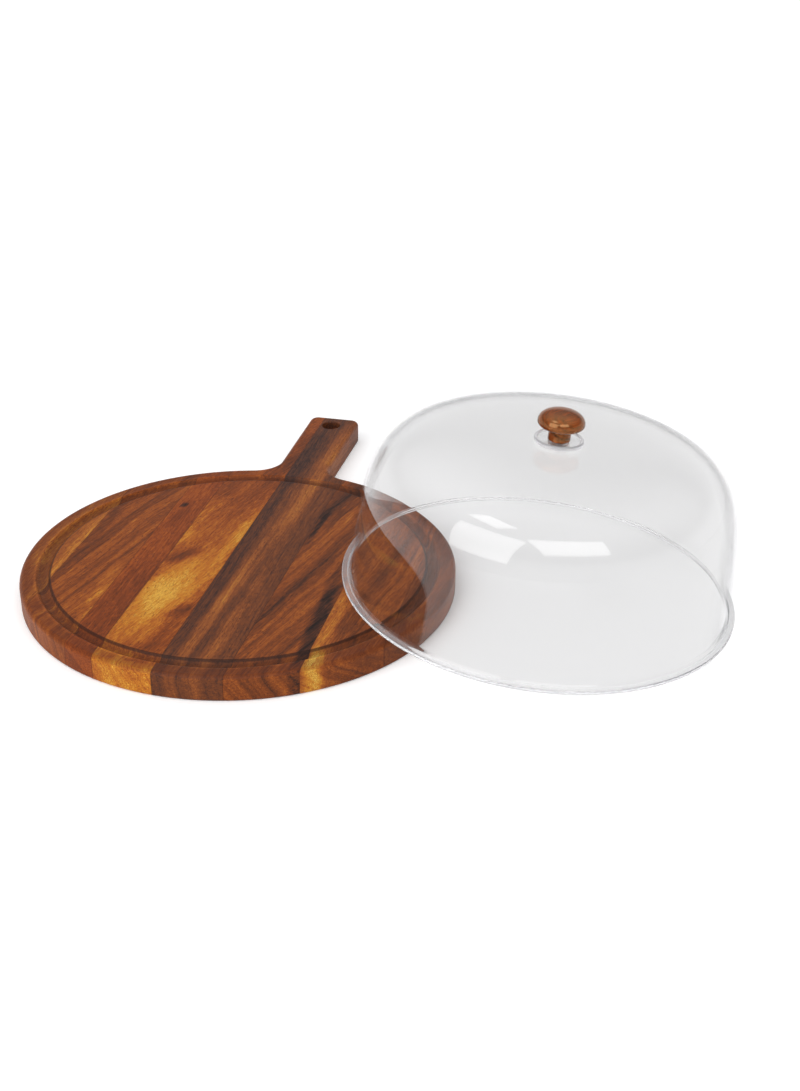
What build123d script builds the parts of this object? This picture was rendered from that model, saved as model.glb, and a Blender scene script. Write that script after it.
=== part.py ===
from build123d import *
import os
from math import atan2, cos, degrees, radians, sin

# A round paddle board, glued up from wooden staves, and the clear dome that covers it.
# The board lies on z = 0 with its handle along +Y. The dome has been lifted off and leans on the
# board's edge on the +X side, with the far side of its rim on the table.
# Millimetres and degrees, +Z up, the origin at the centre of the board's underside.

# ---------------------------------------------------------------- driving dimensions: the board
board_radius = 152.5
board_thickness = 18.0
edge_round = 3.5
underside_round = 2.0
handle_reach = 264.0
handle_half_width_root = 18.5
handle_half_width_end = 21.0
handle_corner = 7.0
handle_fillet = 22.0
hang_hole_radius = 7.5
hang_hole_inset = 17.0
hang_hole_round = 1.0
groove_inner_radius = 131.6
groove_width = 9.6
groove_depth = 3.0
groove_lip_round = 1.0
# The glue joints between neighbouring staves, from -X to +X.
stave_joints = (-119.0, -75.0, -52.0, -8.8, 36.8, 80.9, 125.3)

# ---------------------------------------------------------------- driving dimensions: the dome
rim_radius = 136.8
rim_foot_inner_radius = 132.3
rim_height = 2.6
rim_round = 1.0
wall = 2.5
wall_base_radius = 132.7
wall_taper = 0.07
wall_height = 39.2
flare_height = 4.5
flare_round = 3.0
dome_height = 110.4
shoulder_fullness = 0.96
crown_fullness = 0.838
seat_radius = 17.6
screw_hole_radius = 2.2

# ---------------------------------------------------------------- driving dimensions: the knob
knob_height = 20.6
knob_cap_radius = 15.9
knob_cap_widest = 12.0
knob_cap_underside = 8.4
knob_stem_top_radius = 8.5
knob_stem_foot_radius = 7.6
insert_radius = 3.2
insert_length = 8.0
insert_hole_depth = 10.5
ring_radius = 16.7
ring_thickness = 1.6
ring_lip_height = 2.6
ring_lip_width = 2.4
ring_lip_round = 1.1
screw_radius = 2.0
screw_fit = 0.05
screw_head_radius = 4.0
screw_head_height = 2.6
screw_head_round = 1.2
recess_length = 4.4
recess_width = 1.1
recess_depth = 1.5
washer_radius = 4.5
washer_thickness = 0.8
pad_radius = 7.0
pad_thickness = 1.0

# ---------------------------------------------------------------- driving dimensions: the lean
dome_heading = 7.35
dome_offset = 209.9
lean_gap = 0.3

# The dome's rim plane touches the board's top just inside the edge round, where the foot of the rim
# crosses that circle, and the far side of the rim touches the table.
board_flat_radius = board_radius - edge_round
foot_contact_radius = rim_foot_inner_radius + rim_round
contact_reach = dome_offset**2 + board_flat_radius**2 - foot_contact_radius**2
contact_reach = contact_reach / (2 * dome_offset)
far_reach = dome_offset + rim_radius - rim_round
dome_lean = degrees(atan2(board_thickness + lean_gap, far_reach - contact_reach))
rim_centre_height = (rim_radius - rim_round) * sin(radians(dome_lean))
rim_centre_height += rim_round * (1 - cos(radians(dome_lean)))

heading_direction = Vector(cos(radians(dome_heading)), sin(radians(dome_heading)), 0)
tip_axis = Axis((0, 0, 0), Vector(0, 0, 1).cross(heading_direction))
rim_centre = heading_direction * dome_offset + Vector(0, 0, rim_centre_height)
dome_up = Vector(0, 0, 1).rotate(tip_axis, dome_lean)
dome_right = heading_direction.rotate(tip_axis, dome_lean)

# Profiles of the dome's pieces are drawn here: x is the radius, y the height over the rim plane.
dome_section = Plane(origin=rim_centre, x_dir=dome_right, z_dir=dome_right.cross(dome_up))
dome_axis = Axis(rim_centre, dome_up)

os.makedirs("parts", exist_ok=True)


def finish(piece, name):
    """Labels a finished piece and writes it under its own name."""
    piece.part.label = name
    export_step(piece.part, f"parts/{name}.step")


def dome_plane(height):
    """The plane across the dome's axis, this high over the rim plane."""
    return Plane(origin=rim_centre + dome_up * height, x_dir=dome_right, z_dir=dome_up)


# ---------------------------------------------------------------- the board
# The whole board is shaped in one piece after gluing, so it is made whole and then cut at the joints.
with BuildPart() as board:
    with BuildSketch() as outline:
        Circle(board_radius)
        Polygon(
            (-handle_half_width_root, 0),
            (handle_half_width_root, 0),
            (handle_half_width_end, handle_reach),
            (-handle_half_width_end, handle_reach),
            align=None,
        )
        corners = outline.vertices().group_by(Axis.Y)[-1]
        fillet(corners, handle_corner)
        roots = outline.vertices().filter_by_position(Axis.Y, board_radius - 10, board_radius)
        fillet(roots, handle_fillet)
    extrude(amount=board_thickness)
    fillet(board.faces().sort_by(Axis.Z)[-1].edges(), edge_round)
    fillet(board.faces().sort_by(Axis.Z)[0].edges(), underside_round)

    # The groove that the dome's rim drops into: a shallow cove with softened lips.
    with BuildSketch(Plane.XZ):
        with BuildLine():
            inner_lip = (groove_inner_radius, board_thickness)
            outer_lip = (groove_inner_radius + groove_width, board_thickness)
            bottom = (groove_inner_radius + groove_width / 2, board_thickness - groove_depth)
            ThreePointArc(inner_lip, bottom, outer_lip)
            Line(outer_lip, inner_lip)
        make_face()
    revolve(axis=Axis.Z, mode=Mode.SUBTRACT)
    top_rings = board.edges().filter_by(GeomType.CIRCLE).group_by(Axis.Z)[-1]
    fillet(top_rings.filter_by(lambda ring: ring.radius < board_flat_radius - 1), groove_lip_round)

    with Locations((0, handle_reach - hang_hole_inset, board_thickness)):
        Hole(hang_hole_radius)
    hole_rings = board.edges().filter_by(GeomType.CIRCLE)
    hole_rings = hole_rings.filter_by(lambda ring: abs(ring.radius - hang_hole_radius) < 0.01)
    fillet(hole_rings, hang_hole_round)


def make_stave(number, left, right):
    """One stave of the board, between the glue joints at x = left and x = right."""
    with BuildPart() as stave:
        add(board.part)
        with Locations(((left + right) / 2, 0, 0)):
            Box(right - left, 3 * handle_reach, 3 * board_thickness, mode=Mode.INTERSECT)
    finish(stave, f"board_stave_{number}")


stave_edges = (-board_radius - 1, *stave_joints, board_radius + 1)
for stave_number, (left_joint, right_joint) in enumerate(zip(stave_edges, stave_edges[1:]), start=1):
    make_stave(stave_number, left_joint, right_joint)


# ---------------------------------------------------------------- the dome
# A straight wall with a little draft, a full shoulder and an almost flat crown. The foot of the wall
# turns outwards into a small rim, wide enough inside to clear the board's groove.
shoulder_height = dome_height - wall_height


def wall_radius(height, inset):
    """The wall's radius at a height over the rim plane; inset is 0 outside and the wall inside."""
    return wall_base_radius - wall_taper * height - inset


def shoulder_curve(inset):
    """The curve from the top of the straight wall to the flat seat at the centre of the crown."""
    top_radius = wall_radius(wall_height, inset)
    rise = shoulder_height - inset
    crown = wall_height + rise
    wall_end = (top_radius, wall_height)
    wall_pull = (
        top_radius - wall_taper * shoulder_fullness * rise,
        wall_height + shoulder_fullness * rise,
    )
    crown_pull = (seat_radius + crown_fullness * (top_radius - seat_radius), crown)
    return Bezier(wall_end, wall_pull, crown_pull, (seat_radius, crown))


with BuildPart() as dome_shell:
    with BuildSketch(dome_section) as dome_profile:
        with BuildLine() as dome_outline:
            shoulder_curve(0)
            Line((seat_radius, dome_height), (screw_hole_radius, dome_height))
            Line((screw_hole_radius, dome_height), (screw_hole_radius, dome_height - wall))
            Line((screw_hole_radius, dome_height - wall), (seat_radius, dome_height - wall))
            shoulder_curve(wall)
            Polyline(
                (wall_radius(wall_height, wall), wall_height),
                (wall_radius(flare_height, wall), flare_height),
                (rim_foot_inner_radius, 0),
                (rim_radius, 0),
                (rim_radius, rim_height),
                (wall_radius(rim_height, 0), rim_height),
                (wall_radius(wall_height, 0), wall_height),
            )
        make_face()
    revolve(axis=dome_axis)


def rim_rings(radius, height):
    """The shell's ring edges at this radius and height in the dome's own frame."""
    found = dome_shell.edges().filter_by(GeomType.CIRCLE)
    found = found.filter_by(lambda ring: abs(ring.radius - radius) < 0.01)
    return found.filter_by(lambda ring: abs((ring.arc_center - rim_centre).dot(dome_up) - height) < 0.01)


with dome_shell:
    fillet(rim_rings(wall_radius(flare_height, wall), flare_height), flare_round)
    fillet(rim_rings(wall_radius(rim_height, 0), rim_height), rim_round)
    fillet(rim_rings(rim_radius, rim_height), rim_round)
    fillet(rim_rings(rim_radius, 0), rim_round)
    fillet(rim_rings(rim_foot_inner_radius, 0), rim_round)
finish(dome_shell, "dome_shell")


# ---------------------------------------------------------------- the knob and its fastening
ring_top = dome_height + ring_thickness
crown_inside = dome_height - wall

# A clear disc between the dome and the knob, with a raised lip round its edge.
with BuildPart() as knob_ring:
    with BuildSketch(dome_section) as ring_profile:
        with BuildLine():
            Polyline(
                (screw_hole_radius, dome_height),
                (ring_radius, dome_height),
                (ring_radius, dome_height + ring_lip_height),
                (ring_radius - ring_lip_width, dome_height + ring_lip_height),
                (ring_radius - ring_lip_width, ring_top),
                (screw_hole_radius, ring_top),
                close=True,
            )
        make_face()
        lip = ring_profile.vertices().sort_by_distance(
            dome_section.from_local_coords((ring_radius, dome_height + ring_lip_height))
        )
        fillet(lip[0:2], ring_lip_round)
    revolve(axis=dome_axis)
finish(knob_ring, "knob_ring")

# The turned knob: a stem that widens upwards under a domed cap, bored for the insert.
cap_rise = knob_height - knob_cap_widest
cap_drop = knob_cap_widest - knob_cap_underside
knob_base = ring_top
with BuildPart() as knob:
    with BuildSketch(dome_section) as knob_profile:
        with BuildLine():
            widest = (knob_cap_radius, knob_base + knob_cap_widest)
            stem_top = (knob_stem_top_radius, knob_base + knob_cap_underside)
            stem_foot = (knob_stem_foot_radius, knob_base)
            Bezier(
                (0, knob_base + knob_height),
                (0.62 * knob_cap_radius, knob_base + knob_height),
                (knob_cap_radius, knob_base + knob_cap_widest + 0.62 * cap_rise),
                widest,
            )
            Bezier(
                widest,
                (knob_cap_radius, knob_base + knob_cap_widest - 0.6 * cap_drop),
                (knob_cap_radius - 2.4, knob_base + knob_cap_underside),
                stem_top,
            )
            Bezier(
                stem_top,
                (knob_stem_top_radius - 1.1, knob_base + 0.72 * knob_cap_underside),
                (knob_stem_foot_radius, knob_base + 0.3 * knob_cap_underside),
                stem_foot,
            )
            Polyline(
                stem_foot,
                (insert_radius, knob_base),
                (insert_radius, knob_base + insert_hole_depth),
                (0, knob_base + insert_hole_depth),
                (0, knob_base + knob_height),
            )
        make_face()
    revolve(axis=dome_axis)
finish(knob, "knob")

# The brass insert that takes the screw.
with BuildPart() as threaded_insert:
    with BuildSketch(dome_plane(knob_base)):
        Circle(insert_radius)
        Circle(screw_radius + screw_fit, mode=Mode.SUBTRACT)
    extrude(amount=insert_length)
finish(threaded_insert, "threaded_insert")

# Under the crown: a soft clear pad against the shell, then a steel washer, then the screw's head.
with BuildPart() as inner_pad:
    with BuildSketch(dome_plane(crown_inside - pad_thickness)):
        Circle(pad_radius)
        Circle(screw_hole_radius, mode=Mode.SUBTRACT)
    extrude(amount=pad_thickness)
finish(inner_pad, "inner_pad")

washer_base = crown_inside - pad_thickness - washer_thickness
with BuildPart() as screw_washer:
    with BuildSketch(dome_plane(washer_base)):
        Circle(washer_radius)
        Circle(screw_hole_radius, mode=Mode.SUBTRACT)
    extrude(amount=washer_thickness)
finish(screw_washer, "screw_washer")

# A pan-head machine screw with a cross recess.
screw_tip = knob_base + insert_length - 1
with BuildPart() as knob_screw:
    with BuildSketch(dome_plane(washer_base - screw_head_height)):
        Circle(screw_head_radius)
    extrude(amount=screw_head_height)
    head_ring = knob_screw.edges().filter_by(GeomType.CIRCLE).sort_by(Axis.Z)[0]
    fillet(head_ring, screw_head_round)
    with BuildSketch(dome_plane(washer_base)):
        Circle(screw_radius)
    extrude(amount=screw_tip - washer_base)
    with BuildSketch(dome_plane(washer_base - screw_head_height)):
        Rectangle(recess_length, recess_width)
        Rectangle(recess_width, recess_length)
    extrude(amount=recess_depth, mode=Mode.SUBTRACT)
finish(knob_screw, "knob_screw")

print(f"dome lean {dome_lean:.3f} deg, rim centre {rim_centre}, overall dome height {dome_height}")
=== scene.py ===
from math import cos, pi, radians, sin

import bmesh
import bpy
from mathutils import Matrix, Vector


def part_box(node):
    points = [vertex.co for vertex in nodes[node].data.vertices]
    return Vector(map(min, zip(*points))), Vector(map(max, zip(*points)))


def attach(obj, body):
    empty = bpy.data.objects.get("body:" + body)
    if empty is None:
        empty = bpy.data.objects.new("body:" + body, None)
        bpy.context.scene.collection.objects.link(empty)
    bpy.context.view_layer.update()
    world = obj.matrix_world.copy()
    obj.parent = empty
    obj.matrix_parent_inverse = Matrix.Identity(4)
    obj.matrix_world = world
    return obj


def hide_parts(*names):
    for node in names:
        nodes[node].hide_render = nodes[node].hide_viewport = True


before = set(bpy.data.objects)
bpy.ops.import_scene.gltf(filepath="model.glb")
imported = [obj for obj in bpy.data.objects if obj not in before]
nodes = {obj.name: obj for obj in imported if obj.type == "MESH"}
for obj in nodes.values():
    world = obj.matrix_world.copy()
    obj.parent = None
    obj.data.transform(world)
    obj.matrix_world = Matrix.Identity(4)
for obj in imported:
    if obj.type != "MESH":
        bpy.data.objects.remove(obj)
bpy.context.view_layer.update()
MM = 0.001

# ---------------------------------------------------------------- places, taken from the frame
BOARD_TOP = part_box("board_stave_5")[1].z / MM
stave_names = sorted(name for name in nodes if name.startswith("board_stave_"))
GROOVE_INNER = 131.6
GROOVE_OUTER = 141.2


# ---------------------------------------------------------------- node trees
class Tree:
    """A node tree, built from short calls. Most of them return an output socket."""

    def __init__(self, owner):
        owner.use_nodes = True
        self.tree = owner.node_tree
        self.tree.nodes.clear()

    def node(self, kind, inputs=None, **settings):
        made = self.tree.nodes.new("ShaderNode" + kind)
        for key, value in settings.items():
            setattr(made, key, value)
        for key, value in (inputs or {}).items():
            self.put(made.inputs[key], value)
        return made

    def put(self, socket, value):
        if isinstance(value, bpy.types.NodeSocket):
            self.tree.links.new(value, socket)
        else:
            socket.default_value = value

    def math(self, operation, first, second=0.0, third=0.0, clamp=False):
        made = self.node("Math", {0: first, 1: second, 2: third}, operation=operation)
        made.use_clamp = clamp
        return made.outputs[0]

    def sum(self, *terms):
        total = terms[0]
        for term in terms[1:]:
            total = self.math("ADD", total, term)
        return total

    def vector(self, operation, first, second=(0, 0, 0)):
        return self.node("VectorMath", {0: first, 1: second}, operation=operation).outputs[0]

    def smooth(self, value, low, high, out_low=0.0, out_high=1.0):
        """value taken from low..high to out_low..out_high along a smooth step."""
        made = self.node("MapRange", {0: value, 1: low, 2: high, 3: out_low, 4: out_high})
        made.interpolation_type = "SMOOTHSTEP"
        return made.outputs[0]

    def noise(self, vector, scale, detail=2.0, rough=0.5):
        """A noise node over a vector, with values between 0 and 1."""
        made = self.node("TexNoise", noise_dimensions="3D")
        for key, value in (("Vector", vector), ("Scale", scale), ("Detail", detail), ("Roughness", rough)):
            self.put(made.inputs[key], value)
        return made

    def noise_of(self, number, scale, detail, rough):
        """A noise node over one number, with values between 0 and 1."""
        made = self.node("TexNoise", noise_dimensions="1D")
        for key, value in (("W", number), ("Scale", scale), ("Detail", detail), ("Roughness", rough)):
            self.put(made.inputs[key], value)
        return made

    def ramp(self, value, stops):
        made = self.node("ValToRGB", {0: value})
        elements = made.color_ramp.elements
        while len(elements) < len(stops):
            elements.new(0.5)
        for element, (position, colour) in zip(elements, stops):
            element.position = position
            element.color = (*colour, 1)
        return made.outputs[0]

    def mix(self, factor, first, second, blend="MIX"):
        made = self.node("Mix", data_type="RGBA", blend_type=blend)
        self.put(made.inputs[0], factor)
        self.put(made.inputs[6], first)
        self.put(made.inputs[7], second)
        return made.outputs[2]

    def split(self, vector):
        """The three components of a vector."""
        return self.node("SeparateXYZ", {0: vector}).outputs


class Shader(Tree):
    """A material and its node tree."""

    def __init__(self, name):
        self.material = bpy.data.materials.new(name)
        super().__init__(self.material)

    def millimetres(self):
        """Object coordinates, which are the model's own, in millimetres."""
        place = self.node("TexCoord").outputs["Object"]
        return self.vector("MULTIPLY", place, (1 / MM,) * 3)

    def surface(self, shader):
        self.node("OutputMaterial", {"Surface": shader.outputs[0]})
        return self.material


def dress(name, material):
    """Gives a CAD node this one material."""
    slots = nodes[name].data.materials
    slots.clear()
    slots.append(material)


# ---------------------------------------------------------------- acacia
# From the darkest streaks to the golden sapwood.
ACACIA = (
    (0.00, (0.015, 0.007, 0.005)),
    (0.20, (0.057, 0.020, 0.010)),
    (0.40, (0.138, 0.036, 0.010)),
    (0.55, (0.222, 0.053, 0.011)),
    (0.70, (0.332, 0.086, 0.014)),
    (0.82, (0.456, 0.150, 0.018)),
    (0.92, (0.575, 0.250, 0.026)),
    (1.00, (0.740, 0.450, 0.068)),
)


def swing(s, noise, amount):
    """Noise turned into a change of about plus or minus amount."""
    return s.math("MULTIPLY", s.math("SUBTRACT", noise.outputs[0], 0.5), amount * 3.4)


def grain(s, place, look):
    """The lightness of the wood, the place along its bent grain, and its fibres.

    The growth rings are round a pith that lies off the stave, so the surface cuts them into long
    bands. slant is the angle of the grain from +Y towards +X, in degrees; pith is across the grain
    and up, in millimetres; band is the width of the colour bands and figure the strength of the
    broad cloudy figure.
    """
    seed = look["seed"]
    slant = radians(look["slant"])
    turned = s.node("VectorRotate", {"Vector": place, "Angle": slant}, rotation_type="Z_AXIS")
    along = s.vector("ADD", turned.outputs[0], (seed * 37.0, seed * 91.0, seed * 17.0))
    drift = s.noise(s.vector("MULTIPLY", along, (1 / 45, 1 / 130, 1 / 45)), 1.0, 2.0, 0.5).outputs["Color"]
    sway = look.get("sway", 16.0)
    drift = s.vector("MULTIPLY", s.vector("SUBTRACT", drift, (0.5, 0.5, 0.5)), (sway, 0.0, sway))
    bent = s.vector("ADD", turned.outputs[0], drift)
    parts = s.split(bent)
    across = s.math("SUBTRACT", parts[0], look["pith"][0])
    depth = s.math("SUBTRACT", parts[2], look["pith"][1])
    square = s.math("ADD", s.math("MULTIPLY", across, across), s.math("MULTIPLY", depth, depth))
    radius = s.math("SQRT", square)
    ring = s.math("MULTIPLY_ADD", parts[1], 0.012, s.math("ADD", radius, seed * 53.0))

    bands = swing(s, s.noise_of(ring, 1 / look["band"], 2.0, 0.5), look["contrast"])
    lines = s.noise_of(ring, 1 / 2.6, 3.0, 0.6)
    lines = s.smooth(lines.outputs[0], 0.50, 0.72, 0.0, -0.9 * look["contrast"])
    fibre_place = s.vector("ADD", bent, (seed * 11.0, 0, 0))
    fibre_place = s.vector("MULTIPLY", fibre_place, (1 / 0.7, 1 / 20, 1 / 0.7))
    fibre = s.noise(fibre_place, 1.0, 3.0, 0.62)
    mottle_place = s.vector("MULTIPLY", bent, (1 / 1.6, 1 / 4.5, 1 / 1.6))
    mottle = s.noise(mottle_place, 1.0, 2.0, 0.6)
    figure = s.noise(s.vector("MULTIPLY", along, (1 / 17, 1 / 38, 1 / 17)), 1.0, 3.0, 0.55)
    broad = swing(s, figure, look.get("figure", 0.05))
    light = s.sum(bands, lines, swing(s, fibre, 0.18), swing(s, mottle, 0.10), broad)
    return light, bent, fibre.outputs[0]


def patch(s, place, fibre, x, y, slope, half_width, half_length, soft):
    """A soft streaky patch round (x, y), leaning by slope millimetres of x for each of y."""
    wobble = s.noise(s.vector("MULTIPLY", place, (1 / 8, 1 / 26, 1 / 8)), 1.0, 2.0, 0.5)
    parts = s.split(place)
    lift = s.math("SUBTRACT", parts[1], y)
    side = s.math("SUBTRACT", s.math("SUBTRACT", parts[0], x), s.math("MULTIPLY", lift, slope))
    side = s.math("ABSOLUTE", s.math("ADD", side, swing(s, wobble, 0.22 * half_width)))
    side = s.math("DIVIDE", side, half_width)
    lift = s.math("DIVIDE", s.math("ABSOLUTE", lift), half_length)
    reach = s.math("POWER", s.math("ADD", s.math("POWER", side, 3.0), s.math("POWER", lift, 3.0)), 1 / 3)
    reach = s.math("MULTIPLY_ADD", s.math("SUBTRACT", fibre, 0.5), 1.1 * soft, reach)
    return s.smooth(reach, 1.0 + soft, 1.0 - soft)


def wood_colour(s, light, look):
    """The ramp's colour, with the wood's own tint."""
    colour = s.ramp(light, ACACIA)
    return s.mix(1.0, colour, (*look.get("tint", (1, 1, 1)), 1), "MULTIPLY")


def crack(s, bent, light):
    """The lightness, with a dark net over the palest sapwood."""
    cells = s.vector("MULTIPLY", bent, (1 / 3.2, 1 / 4.6, 1 / 3.2))
    net = s.node("TexVoronoi", {"Vector": cells}, feature="DISTANCE_TO_EDGE")
    net = s.smooth(net.outputs["Distance"], 0.10, 0.0)
    pale = s.smooth(light, 0.84, 1.0)
    return s.math("MULTIPLY_ADD", s.math("MULTIPLY", net, pale), -0.34, light)


def pore_field(s, bent):
    """0 in a pore and 1 outside: short dashes along the grain, and dots where it is cut across."""
    cells = s.vector("MULTIPLY", bent, (1 / 1.0, 1 / 5.5, 1 / 1.0))
    pores = s.node("TexVoronoi", {"Vector": cells, "Scale": 1.0, "Randomness": 1.0}).outputs["Distance"]
    return s.smooth(pores, 0.12, 0.30)


def shade_groove_and_band(s, place, colour):
    """The groove is darker, from oil and from painted shade that is deepest at its bottom, with a painted
    shadow line along its inner edge; the flat band outside it is a little darker.
    """
    x, y, z = s.split(place)
    up = s.split(s.node("TexCoord").outputs["Normal"])[2]
    radius = s.math("SQRT", s.math("ADD", s.math("MULTIPLY", x, x), s.math("MULTIPLY", y, y)))
    outer = s.smooth(radius, GROOVE_OUTER + 1.8, GROOVE_OUTER + 0.4)
    inside = s.math("MULTIPLY", outer, s.smooth(radius, GROOVE_INNER - 0.8, GROOVE_INNER))
    deep = s.math("MULTIPLY", inside, s.smooth(z, BOARD_TOP - 0.2, BOARD_TOP - 2.4))
    lip = s.smooth(radius, GROOVE_INNER - 1.0, GROOVE_INNER - 0.2)
    lip = s.math("MULTIPLY", lip, s.smooth(radius, GROOVE_INNER + 2.0, GROOVE_INNER + 0.6))
    lip = s.math("MULTIPLY", lip, s.smooth(z, BOARD_TOP - 3.6, BOARD_TOP - 3.0))
    # painted shade: the groove's bottom, with its oil, and a painted shadow line along its inner wall are
    # darkened
    groove_oil_and_shade = s.math("MAXIMUM", s.math("MULTIPLY", deep, 0.45), s.math("MULTIPLY", lip, 0.80))
    colour = s.mix(groove_oil_and_shade, colour, (0.026, 0.011, 0.008, 1))
    band = s.smooth(radius, GROOVE_OUTER + 0.3, GROOVE_OUTER + 2.8)
    band = s.math("MULTIPLY", band, s.smooth(y, 150.0, 120.0))
    band = s.math("MULTIPLY", band, s.smooth(up, 0.3, 0.8))
    return s.mix(s.math("MULTIPLY", band, 0.36), colour, (0.080, 0.016, 0.007, 1))


def acacia(name, look, joints):
    """Oiled acacia. look["patches"] are (change of lightness, then patch's numbers)."""
    s = Shader(name)
    place = s.millimetres()
    light, bent, fibre = grain(s, place, look)
    light = s.math("ADD", light, look["tone"])
    for change, *shape in look.get("patches", ()):
        light = s.math("MULTIPLY_ADD", patch(s, place, fibre, *shape), change, light)
    colour = wood_colour(s, crack(s, bent, light), look)
    pores = pore_field(s, bent)
    colour = s.mix(s.math("MULTIPLY", s.math("SUBTRACT", 1.0, pores), 0.7), colour, (0.022, 0.009, 0.006, 1))
    # painted shade and oil in the groove, and the darker band outside it
    colour = shade_groove_and_band(s, place, colour)
    for joint in joints:
        gap = s.math("ABSOLUTE", s.math("SUBTRACT", s.split(place)[0], joint))
        colour = s.mix(s.smooth(gap, 0.45, 0.1, 0.0, 0.45), colour, (0.012, 0.006, 0.005, 1))

    gloss = s.smooth(fibre, 0.25, 0.75, 0.50, 0.36)
    height = s.math("MULTIPLY_ADD", fibre, 0.35, pores)
    bump = s.node("Bump", {"Strength": 0.35, "Distance": 0.00012, "Height": height})
    wood = s.node("BsdfPrincipled", {"Base Color": colour, "Roughness": gloss, "Normal": bump.outputs[0]})
    wood.inputs["IOR"].default_value = 1.45
    wood.inputs["Specular IOR Level"].default_value = 0.14
    return s.surface(wood)


STAVES = (
    dict(tone=0.67, contrast=0.08, slant=3, pith=(-190, -30), band=9, seed=1.3, tint=(1, 1.08, 1.2),
         patches=(
             (0.10, -122, 15, 0.02, 4, 70, 0.5), (-0.18, -146, 60, 0.35, 9, 60, 0.5),
             (-0.10, -145, -40, -0.4, 6, 60, 0.5))),
    dict(tone=0.575, contrast=0.13, slant=15, pith=(-200, -60), band=7, seed=2.1,
         patches=(
             (-0.15, -114, 35, 0.03, 4, 45, 0.6), (0.13, -77, -75, -0.10, 6, 55, 0.4),
             (0.06, -100, -95, 0.1, 10, 25, 0.6))),
    dict(tone=0.585, contrast=0.07, slant=2, pith=(-140, -90), band=9, seed=3.4,
         tint=(1, 0.88, 0.85),
         patches=(
             (-0.42, -68.6, 74, 0.2, 2.2, 3.6, 0.6), (-0.12, -66, 60, 0.0, 4, 20, 0.6),
             (-0.09, -63, -80, 0.0, 14, 60, 0.6))),
    dict(tone=0.73, contrast=0.09, slant=12, pith=(-120, -70), band=12, seed=4.2, sway=26.0,
         figure=0.10, tint=(1, 0.95, 0.9),
         patches=(
             (-0.18, -30, 115, 0.0, 30, 50, 0.6), (-0.24, -14, 220, 0.0, 14, 70, 0.5),
             (0.17, -36, -60, 0.15, 15, 42, 0.8), (0.08, -36, -66, 0.25, 9, 20, 0.7),
             (0.16, -13, 22, 0.03, 4, 42, 0.6), (-0.28, -43, -4, 0.5, 6, 11, 0.8),
             (-0.26, -16, -76, 0.5, 6, 9, 0.8), (0.10, -40, -30, 0.2, 9, 25, 0.7),
             (-0.14, -14, -112, 0.1, 7, 20, 0.7), (-0.10, -30, -125, 0.6, 16, 5, 0.7),
             (0.13, -30, -152, 0.0, 26, 8, 0.5))),
    dict(tone=0.415, contrast=0.11, slant=1, pith=(-90, -10), band=8, seed=5.9,
         tint=(0.97, 1.15, 1.6),
         patches=(
             (0.28, 15, 150, 0.0, 5.5, 90, 0.5), (0.20, 11, 15, 0.05, 5, 70, 0.6),
             (0.16, 6, -85, 0.04, 5, 60, 0.6), (-0.12, -4, 20, 0.0, 5, 150, 0.5),
             (-0.14, 0, 200, 0.0, 8, 70, 0.5), (0.12, 22, -100, 0.1, 6, 60, 0.6))),
    dict(tone=0.53, contrast=0.16, slant=14, pith=(-20, -50), band=7, seed=6.5, tint=(1, 1.05, 1.2),
         patches=(
             (-0.34, 40, 60, 0.06, 2.2, 26, 0.6), (-0.18, 48, 105, 0.2, 11, 40, 0.6),
             (0.12, 52, 60, 0.2, 5, 60, 0.6), (-0.40, 76.5, -70, -0.05, 4.5, 62, 0.7),
             (-0.15, 50, -30, 0.25, 4, 60, 0.6), (0.06, 62, -60, 0.2, 6, 50, 0.6))),
    dict(tone=0.57, contrast=0.13, slant=6, pith=(40, -60), band=8, seed=7.7, tint=(1, 1.05, 1.2),
         patches=(
             (0.17, 85, -75, -0.04, 6, 64, 0.5), (0.30, 88, -116, 0.0, 6, 13, 0.6),
             (-0.14, 104, 30, 0.1, 5, 60, 0.6), (-0.12, 108, -85, -0.4, 14, 30, 0.6))),
    dict(tone=0.47, contrast=0.09, slant=5, pith=(60, -60), band=8, seed=8.8, tint=(1, 1.1, 1.4)),
)

for name, look in zip(stave_names, STAVES):
    low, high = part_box(name)
    joints = [x / MM for x in (low.x, high.x) if abs(x) < 0.14]
    dress(name, acacia(name.replace("board", "acacia"), look, joints))


# ---------------------------------------------------------------- the dome
# The dome's own frame, in millimetres: radius from its axis and height over the plane of its rim.
DOME_HEADING = 7.35
DOME_LEAN = 4.545
WALL = 2.46
TAPER = 0.07
WALL_HEIGHT = 39.2
CROWN = 110.38
SEAT = 17.6
SHOULDER_FULLNESS = 0.96
CROWN_FULLNESS = 0.838
SCREW_HOLE = 2.2
RIM_RADIUS = 136.74
RIM_HEIGHT = 2.58
RIM_ROUND = 0.98
FOOT_RADIUS = 132.3
FLARE_HEIGHT = 4.5
FLARE_ROUND = 3.0
LOWEST = 0.02
RIM_CENTRE = Vector((208.175, 26.853, 10.765))
RIM_HAZE = ("height", 3.4, 1.6, 0.15)
LIP_HAZE = ("radius", 14.0, 15.2, 0.42)
heading = Vector((cos(radians(DOME_HEADING)), sin(radians(DOME_HEADING)), 0))
dome_up = heading * sin(radians(DOME_LEAN)) + Vector((0, 0, cos(radians(DOME_LEAN))))
dome_side = dome_up.cross(heading).normalized()
dome_right = dome_side.cross(dome_up)


def wall_radius(height, inset):
    """The wall's outer radius at this height, less inset."""
    return 132.68 - TAPER * height - inset


def curve(points, steps):
    """Points along a cubic Bezier, its first one left out."""
    a, b, c, d = (Vector(point) for point in points)
    ts = [step / steps for step in range(1, steps + 1)]
    return [a * (1 - t) ** 3 + b * 3 * t * (1 - t) ** 2 + c * 3 * t * t * (1 - t) + d * t ** 3 for t in ts]


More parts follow.
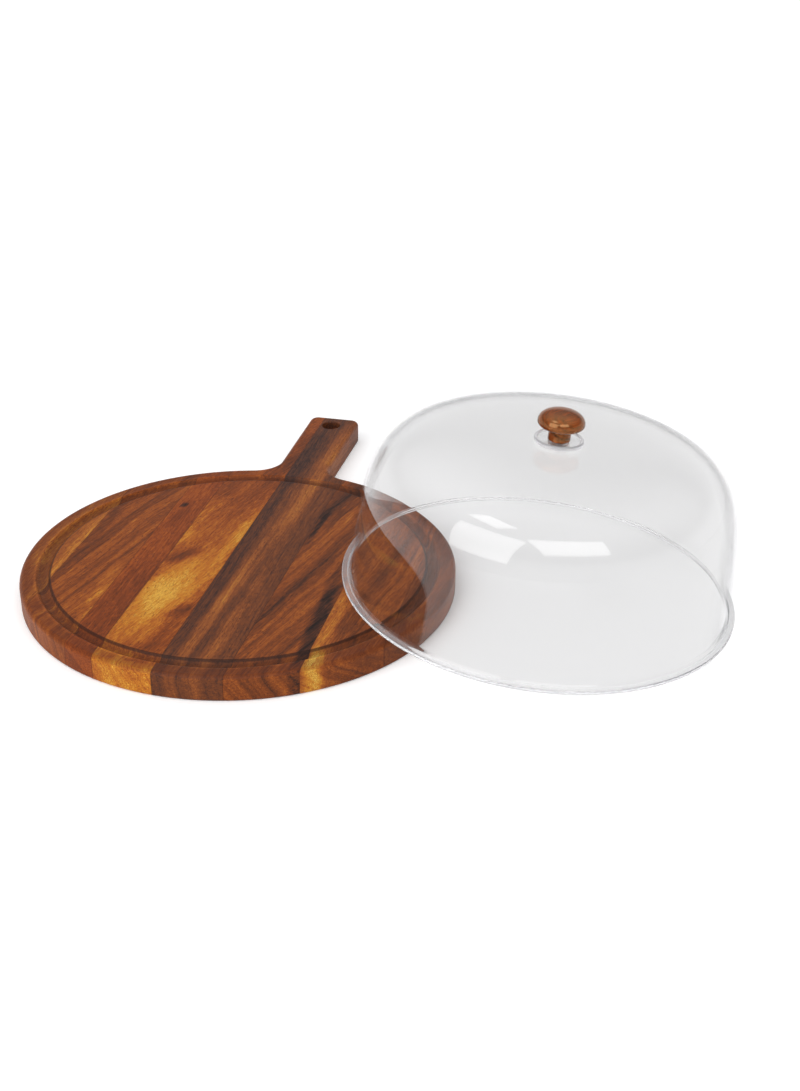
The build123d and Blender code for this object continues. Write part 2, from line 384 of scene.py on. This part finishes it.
def shoulder(inset, steps=56):
    """The dome's curve from the wall's top to the seat, shifted in by inset."""
    top = wall_radius(WALL_HEIGHT, inset)
    rise = CROWN - inset - WALL_HEIGHT
    full = SHOULDER_FULLNESS * rise
    apex = WALL_HEIGHT + rise
    return curve(((top, WALL_HEIGHT), (top - TAPER * full, WALL_HEIGHT + full),
                  (SEAT + CROWN_FULLNESS * (top - SEAT), apex), (SEAT, apex)), steps)


def corner(before, at, after, radius, steps=6):
    """A rounded corner, as points."""
    at = Vector(at)
    first, last = (Vector(before) - at).normalized(), (Vector(after) - at).normalized()
    reach = radius / abs(((first - last).length / 2) / max((first + last).length / 2, 1e-6))
    start, end = at + first * reach, at + last * reach
    pull = 0.55
    return [start] + curve((start, start.lerp(at, pull), end.lerp(at, pull), end), steps)


def shell_profile():
    """Once round the dome's section, from the screw's hole over the top, down and back up inside."""
    foot, flare = (FOOT_RADIUS, LOWEST), (wall_radius(FLARE_HEIGHT, WALL), FLARE_HEIGHT)
    rim_low, rim_high = (RIM_RADIUS, LOWEST), (RIM_RADIUS, RIM_HEIGHT)
    root = (wall_radius(RIM_HEIGHT, 0), RIM_HEIGHT)
    above, inside = (wall_radius(30, 0), 30), (wall_radius(30, WALL), 30)
    points = [Vector((SCREW_HOLE, CROWN)), Vector((SEAT, CROWN))]
    points += list(reversed(shoulder(0)))[1:] + [Vector((wall_radius(WALL_HEIGHT, 0), WALL_HEIGHT))]
    points += [Vector((wall_radius(h, 0), h)) for h in (30, 20, 12, 7)]
    points += corner(above, root, rim_high, RIM_ROUND) + corner(root, rim_high, rim_low, RIM_ROUND)
    points += corner(rim_high, rim_low, foot, RIM_ROUND) + corner(rim_low, foot, flare, RIM_ROUND)
    points += corner(foot, flare, inside, FLARE_ROUND)
    points += [Vector((wall_radius(h, WALL), h)) for h in (12, 20, 30, WALL_HEIGHT)]
    return points + shoulder(WALL) + [Vector((SCREW_HOLE, CROWN - WALL))]


def lathe(name, profile, centre, segments=256):
    """Turns a closed section of (radius, height) points about the dome's axis."""
    corners, faces = [], []
    for k in range(segments):
        angle = 2 * pi * k / segments
        outward = dome_right * cos(angle) + dome_side * sin(angle)
        corners += [(centre + outward * point[0] + dome_up * point[1]) * MM for point in profile]
    count = len(profile)
    for k in range(segments):
        here, there = k * count, (k + 1) % segments * count
        for i in range(count):
            j = (i + 1) % count
            faces.append((here + i, here + j, there + j, there + i))
    mesh = bpy.data.meshes.new(name)
    mesh.from_pydata(corners, [], faces)
    mesh.validate()
    turned = bmesh.new()
    turned.from_mesh(mesh)
    bmesh.ops.recalc_face_normals(turned, faces=turned.faces)
    turned.to_mesh(mesh)
    turned.free()
    mesh.shade_smooth()
    mesh.set_sharp_from_angle(angle=radians(32))
    made = bpy.data.objects.new(name, mesh)
    bpy.context.scene.collection.objects.link(made)
    return made


def clear_plastic(name, tint, shadow, roughness=0.0, haze=None):
    """Clear acrylic that lets the lamps through, with faint outlines.

    haze is ("height" or "radius", none, full, amount): the light that a thick edge scatters grows from
    none at one height over the rim, or one radius, to the full amount at the other.
    """
    s = Shader(name)
    place = s.millimetres()
    ripple = s.noise(place, 1 / 70, 1.0, 0.4)
    bump = s.node("Bump", {"Strength": 0.03, "Distance": 0.0008, "Height": ripple.outputs[0]})
    body = s.node("BsdfPrincipled", {"Base Color": (*tint, 1), "Roughness": roughness, "IOR": 1.49})
    s.put(body.inputs["Normal"], bump.outputs[0])
    body.inputs["Transmission Weight"].default_value = 1.0
    outline = s.node("LayerWeight", {"Blend": 0.5}).outputs["Facing"]
    outline = s.smooth(outline, 0.64, 0.92, 0.0, 0.92)
    glancing = s.node("BsdfTransparent", {"Color": (0.978, 0.978, 0.982, 1)})
    shown = s.node("MixShader", {0: outline, 1: body.outputs[0], 2: glancing.outputs[0]})
    if haze:
        kind, none, full, amount = haze
        white = s.node("BsdfDiffuse", {"Color": (0.93, 0.93, 0.96, 1)})
        over = s.vector("SUBTRACT", place, tuple(RIM_CENTRE))
        height = s.node("VectorMath", {0: over, 1: tuple(dome_up)}, operation="DOT_PRODUCT").outputs["Value"]
        crossed = s.vector("CROSS_PRODUCT", over, tuple(dome_up))
        radius = s.node("VectorMath", {0: crossed}, operation="LENGTH").outputs["Value"]
        amount = s.smooth(height if kind == "height" else radius, none, full, 0.0, amount)
        shown = s.node("MixShader", {0: amount, 1: shown.outputs[0], 2: white.outputs[0]})
    through = s.node("BsdfTransparent", {"Color": (*shadow, 1)})
    path = s.node("LightPath").outputs
    for ray in ("Is Diffuse Ray", "Is Shadow Ray"):
        shown = s.node("MixShader", {0: path[ray], 1: shown.outputs[0], 2: through.outputs[0]})
    return s.surface(shown)


shell = lathe("dome_clear_shell", shell_profile(), RIM_CENTRE)
acrylic = clear_plastic("clear_acrylic", (0.985, 0.984, 0.983), (0.93, 0.93, 0.93), haze=RIM_HAZE)
shell.data.materials.append(acrylic)
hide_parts("dome_shell")
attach(shell, "dome")


def ring_profile():
    """The clear disc under the knob, with a raised lip whose top is rounded."""
    low, floor_of_ring, lip_top, out, back = CROWN + 0.04, CROWN + 1.6, CROWN + 2.6, 16.68, 14.3
    points = [Vector((2.3, low))] + corner((2.3, low), (out, low), (out, lip_top), 0.3)
    points += corner((out, low), (out, lip_top), (back, lip_top), 1.05)
    points += corner((out, lip_top), (back, lip_top), (back, floor_of_ring), 1.0)
    return points + [Vector((back, floor_of_ring)), Vector((2.3, floor_of_ring))]


ring = lathe("knob_clear_ring", ring_profile(), RIM_CENTRE, 128)
clear = clear_plastic("clear_ring", (0.985, 0.985, 0.985), (0.985, 0.985, 0.985), haze=LIP_HAZE)
ring.data.materials.append(clear)
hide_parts("knob_ring")
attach(ring, "dome")


# ---------------------------------------------------------------- the knob and its fastening
def turned_wood(name):
    look = dict(contrast=0.13, slant=40, pith=(30, -14), band=3.0, seed=9.2, sway=6.0, figure=0.07,
                tint=(1.05, 0.74, 0.28))
    s = Shader(name)
    place = s.millimetres()
    light, bent, fibre = grain(s, place, look)
    colour = wood_colour(s, s.math("ADD", light, 0.44), look)
    bump = s.node("Bump", {"Strength": 0.2, "Distance": 0.00004, "Height": fibre})
    wood = s.node("BsdfPrincipled", {"Base Color": colour, "Roughness": 0.13, "Normal": bump.outputs[0]})
    wood.inputs["IOR"].default_value = 2.1
    wood.inputs["Specular Tint"].default_value = (1.0, 0.60, 0.28, 1)
    return s.surface(wood)


def metal(name, colour, roughness):
    s = Shader(name)
    place = s.millimetres()
    turning = s.noise(place, 3.0, 3.0, 0.6).outputs[0]
    gloss = s.smooth(turning, 0.2, 0.8, roughness * 0.7, roughness * 1.3)
    steel = s.node("BsdfPrincipled", {"Base Color": (*colour, 1), "Metallic": 1.0, "Roughness": gloss})
    return s.surface(steel)


dress("inner_pad", clear_plastic("pad_plastic", (0.95, 0.96, 0.97), (0.85, 0.85, 0.86), roughness=0.25))
dress("knob", turned_wood("knob_wood"))
dress("threaded_insert", metal("insert_brass", (0.80, 0.58, 0.26), 0.3))
dress("knob_screw", metal("screw_steel", (0.60, 0.60, 0.62), 0.22))
dress("screw_washer", metal("washer_steel", (0.64, 0.64, 0.65), 0.3))


# ---------------------------------------------------------------- the studio
def floor():
    """Pale paper. What the camera sees of it directly is burnt out to white, as in the photo."""
    bpy.ops.mesh.primitive_circle_add(vertices=96, radius=12.0, fill_type="NGON", location=(0, 0, 0))
    ground = bpy.context.object
    ground.name = "floor"
    s = Shader("pale_floor")
    paper = s.node("BsdfDiffuse", {"Color": (0.93, 0.93, 0.93, 1)})
    place = s.node("TexCoord").outputs["Object"]
    away = s.node("VectorMath", {0: place}, operation="LENGTH").outputs["Value"]
    seen = s.node("LightPath").outputs["Is Camera Ray"]
    extra = s.math("MULTIPLY", seen, s.smooth(away, 0.3, 1.6, 0.20, 0.55))
    glow = s.node("Emission", {"Color": (1, 1, 1, 1), "Strength": extra})
    both = s.node("AddShader", {0: paper.outputs[0], 1: glow.outputs[0]})
    ground.data.materials.append(s.surface(both))


def softbox(name, target, azimuth, elevation, distance, width, height, radiance):
    """A soft rectangular lamp seen from the target in that direction, in degrees."""
    a, e = radians(azimuth), radians(elevation)
    away = Vector((sin(a) * cos(e), -cos(a) * cos(e), sin(e)))
    lamp = bpy.data.lights.new(name, "AREA")
    lamp.shape = "RECTANGLE"
    lamp.size = width
    lamp.size_y = height
    lamp.energy = radiance * pi * width * height
    holder = bpy.data.objects.new(name, lamp)
    bpy.context.scene.collection.objects.link(holder)
    holder.location = target + away * distance
    holder.rotation_mode = "QUATERNION"
    holder.rotation_quaternion = away.to_track_quat("Z", "Y")


def sky():
    """White to the camera; to everything else, bright overhead and dimmer near the horizon."""
    world = bpy.data.worlds.new("studio")
    s = Tree(world)
    height = s.split(s.node("TexCoord").outputs["Generated"])[2]
    stops = ((0.0, 0.90), (0.22, 0.75), (0.42, 0.24), (0.70, 0.55), (0.90, 0.92))
    shade = s.ramp(height, [(place, (level, level, level * 1.01)) for place, level in stops])
    room = s.node("Background", {"Color": shade, "Strength": 1.0})
    page = s.node("Background", {"Color": (1, 1, 1, 1), "Strength": 1.0})
    seen = s.node("LightPath").outputs["Is Camera Ray"]
    both = s.node("MixShader", {0: seen, 1: room.outputs[0], 2: page.outputs[0]})
    s.node("OutputWorld", {"Surface": both.outputs[0]})
    bpy.context.scene.world = world


def camera():
    aim = Vector((0.1141, 0.0077, 0.040))
    azimuth, elevation, roll = radians(12.585), radians(27.874), radians(0.467)
    distance = 1.0507
    back = Vector((sin(azimuth) * cos(elevation), -cos(azimuth) * cos(elevation), sin(elevation)))
    view = bpy.data.cameras.new("camera")
    view.lens = 50.25
    view.sensor_width = 36.0
    holder = bpy.data.objects.new("camera", view)
    bpy.context.scene.collection.objects.link(holder)
    turn = back.to_track_quat("Z", "Y").to_matrix().to_4x4()
    holder.matrix_world = Matrix.Translation(aim + back * distance) @ turn @ Matrix.Rotation(roll, 4, "Z")
    bpy.context.scene.camera = holder


dome_low, dome_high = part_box("dome_shell")
dome_middle = (dome_low + dome_high) / 2
floor()
sky()
camera()
softbox("softbox_left", dome_middle, -32, 33, 4.5, 3.1, 3.5, 2.3)
softbox("softbox_right", dome_middle, 30, 47, 4.5, 3.0, 2.2, 2.3)
softbox("softbox_top", dome_middle, -58, 72, 4.5, 1.4, 1.0, 2.3)

scene = bpy.context.scene
scene.view_settings.view_transform = "Standard"
scene.view_settings.look = "None"
